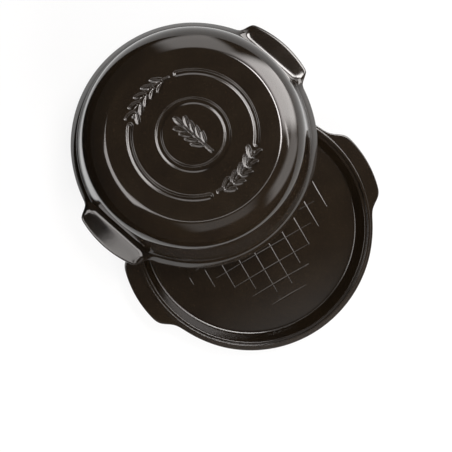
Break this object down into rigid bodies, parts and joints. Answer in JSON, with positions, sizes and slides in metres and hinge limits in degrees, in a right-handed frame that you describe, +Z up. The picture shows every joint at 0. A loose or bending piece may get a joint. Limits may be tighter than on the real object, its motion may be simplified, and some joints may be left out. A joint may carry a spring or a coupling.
{
  "type": "bread cloche",
  "caption": "Round glazed ceramic bread baker: a shallow scored dish with lug handles and a domed lid that lifts off, shown leaning on the dish.",
  "frame": {"origin": "middle of the dish's foot, on the plane that it stands on", "axes": "+X through the dish's handles, +Y towards the lid that leans on the dish, +Z up"},
  "size_m": [0.3353, 0.4176, 0.1503],
  "materials": {
    "glaze": "gloss"
  },
  "bodies": {
    "dish": {"base": "glaze"},
    "cover": {"lid": "glaze"}
  },
  "joints": [
    {"name": "lid_lift", "type": "slide", "parent": "dish", "child": "cover", "axis": [0, 0, 1], "range_m": [0, 0.15]}
  ]
}
